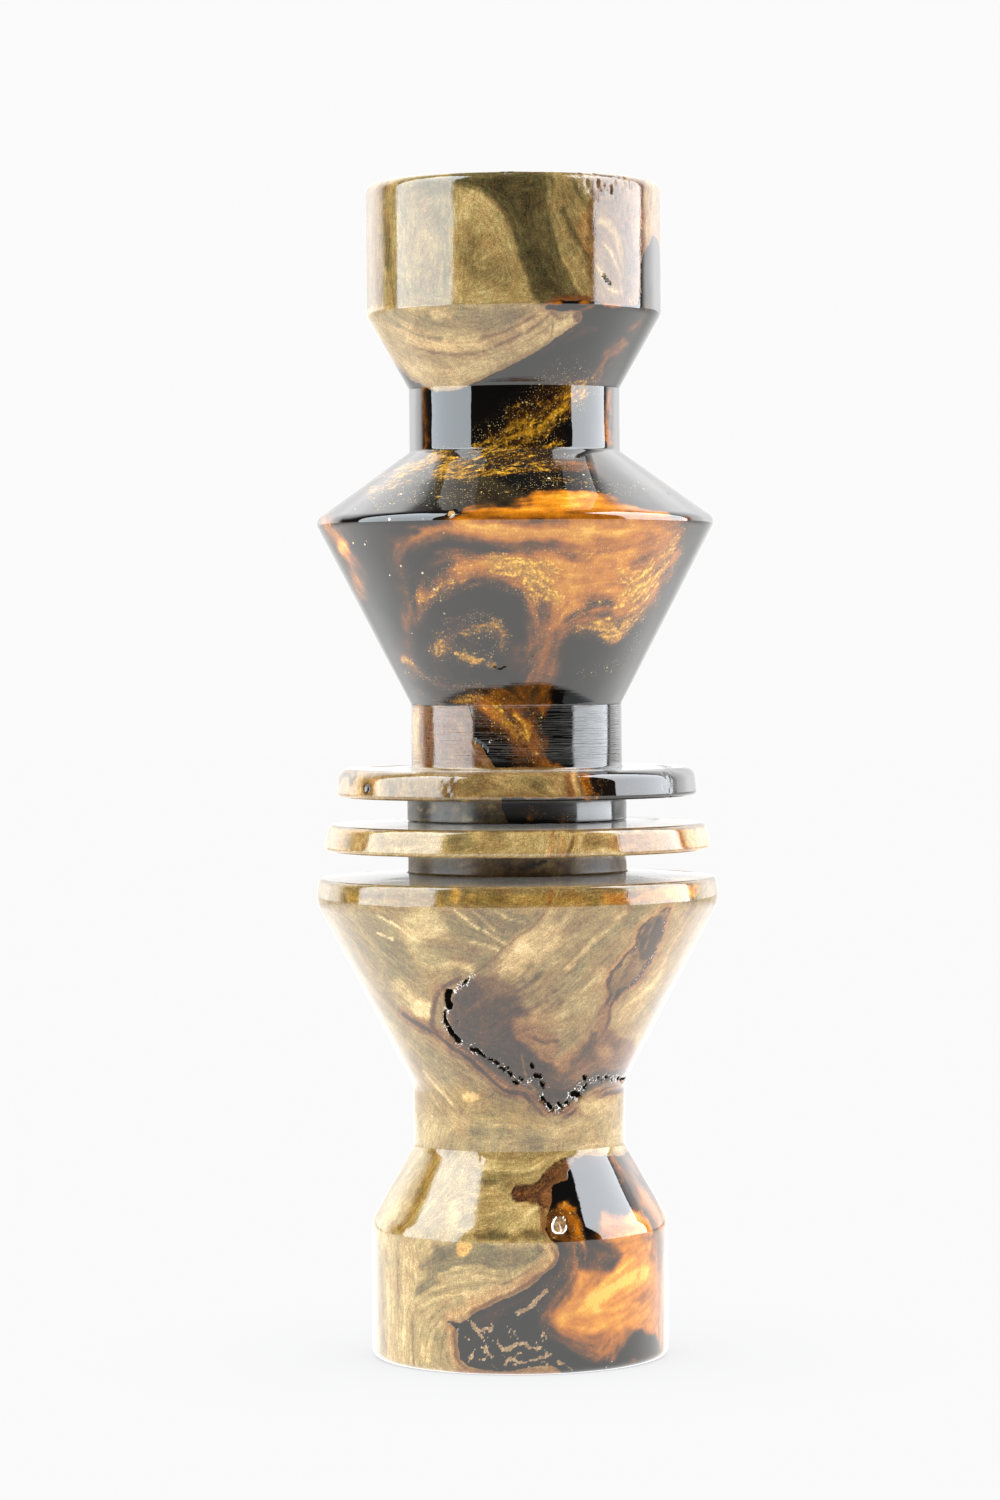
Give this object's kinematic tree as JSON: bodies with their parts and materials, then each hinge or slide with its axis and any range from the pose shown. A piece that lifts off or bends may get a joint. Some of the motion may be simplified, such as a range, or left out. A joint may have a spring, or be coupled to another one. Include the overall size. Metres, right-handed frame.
{
  "type": "duck call",
  "caption": "Turned duck call: flared barrel and insert of cast burl and resin, with a drop-in toneboard, twin reeds, wedge and ring seals.",
  "frame": {"origin": "centre of the exhaust face, on the bore's axis", "axes": "+Z along the bore from the exhaust face to the mouth end; the toneboard's flat and the reeds face -Y; +X completes the right-handed frame"},
  "size_m": [0.038, 0.038, 0.1109],
  "materials": {
    "hybrid_blank": "burl wood cast in black and amber resin, polished to a high gloss",
    "toneboard_acrylic": "turned and milled acrylic, satin on the flat",
    "reed_film": "thin clear film, lightly frosted",
    "cork": "cut cork",
    "ring_rubber": "black nitrile, slightly greased"
  },
  "bodies": {
    "insert": {"insert_body": "hybrid_blank"},
    "insert_seals": {"insert_o_ring_lower": "ring_rubber", "insert_o_ring_upper": "ring_rubber"},
    "toneboard": {"toneboard": "toneboard_acrylic"},
    "barrel_seals": {"barrel_o_ring_lower": "ring_rubber", "barrel_o_ring_upper": "ring_rubber"},
    "barrel": {"barrel": "hybrid_blank"},
    "wedge": {"reed_wedge": "cork"},
    "reed_long": {"reed_long": "reed_film"},
    "reed_short": {"reed_short": "reed_film"}
  },
  "joints": [
    {"name": "toneboard_pull", "type": "slide", "parent": "insert", "child": "insert_seals", "axis": [0, 0, 1], "range_m": [0, 0.025]},
    {"name": "toneboard_turn", "type": "hinge", "parent": "insert_seals", "child": "toneboard", "pos_m": [0, 0, 0.0385], "axis": [0, 0, 1], "continuous": true},
    {"name": "barrel_twist", "type": "hinge", "parent": "toneboard", "child": "barrel_seals", "pos_m": [0, 0, 0.0567], "axis": [0, 0, 1], "continuous": true},
    {"name": "barrel_pull", "type": "slide", "parent": "barrel_seals", "child": "barrel", "axis": [0, 0, 1], "range_m": [0, 0.046]},
    {"name": "wedge_pull", "type": "slide", "parent": "toneboard", "child": "wedge", "axis": [0, 0, 1], "range_m": [0, 0.011]},
    {"name": "reed_flex", "type": "hinge", "parent": "toneboard", "child": "reed_long", "pos_m": [0, -0.0006, 0.0735], "axis": [1, 0, 0], "range_deg": [-3.4, 1.5], "stiffness_Nm_per_rad": 0.02, "deforming": ["reed_long"]},
    {"name": "reed_short_flex", "type": "hinge", "parent": "toneboard", "child": "reed_short", "pos_m": [0, -0.0006, 0.0735], "axis": [1, 0, 0], "range_deg": [-3.4, 1.5], "stiffness_Nm_per_rad": 0.03, "deforming": ["reed_short"]}
  ],
  "couplings": [
    {"joint": "reed_short_flex", "follows": "reed_flex", "ratio": 1}
  ]
}
